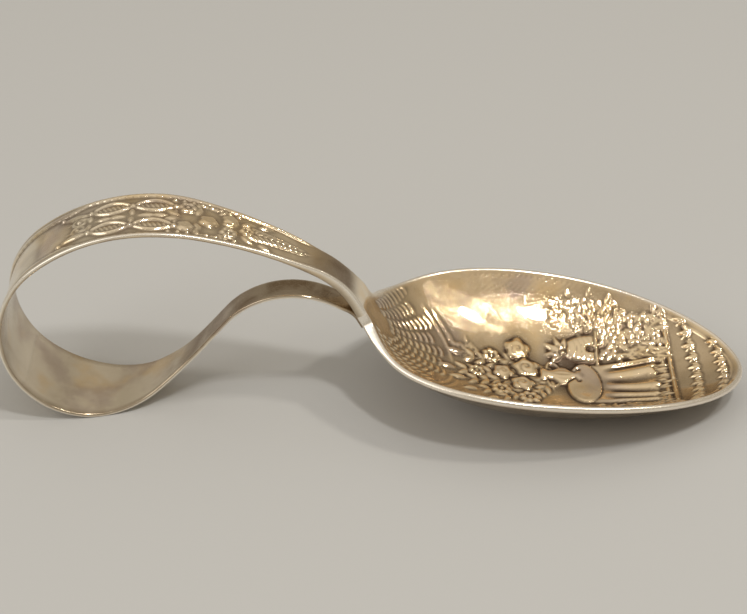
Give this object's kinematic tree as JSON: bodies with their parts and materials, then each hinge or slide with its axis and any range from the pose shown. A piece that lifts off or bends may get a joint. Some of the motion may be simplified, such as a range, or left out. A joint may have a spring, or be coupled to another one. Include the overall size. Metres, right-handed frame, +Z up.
{
  "type": "souvenir spoon",
  "caption": "Small silver spoon with an egg-shaped embossed bowl and a flat patterned handle curled back into a finger loop.",
  "frame": {"origin": "on the surface that the spoon rests on, under the middle of its length and width", "axes": "+X from the handle's loop to the bowl's tip, +Y across the spoon, +Z up out of the bowl"},
  "size_m": [0.092, 0.0304, 0.0264],
  "materials": {
    "bowl_silver": "polished sterling silver with a warm tarnish, darkened in the embossed hollows, finely scratched",
    "handle_silver": "polished sterling silver with a warm tarnish, patterned front and plain brushed back",
    "solder_silver": "silver solder, dull and slightly grey beside the polished metal"
  },
  "bodies": {
    "root": {"bowl": "bowl_silver", "handle_strap": "handle_silver", "tip_solder": "solder_silver"}
  },
  "joints": []
}
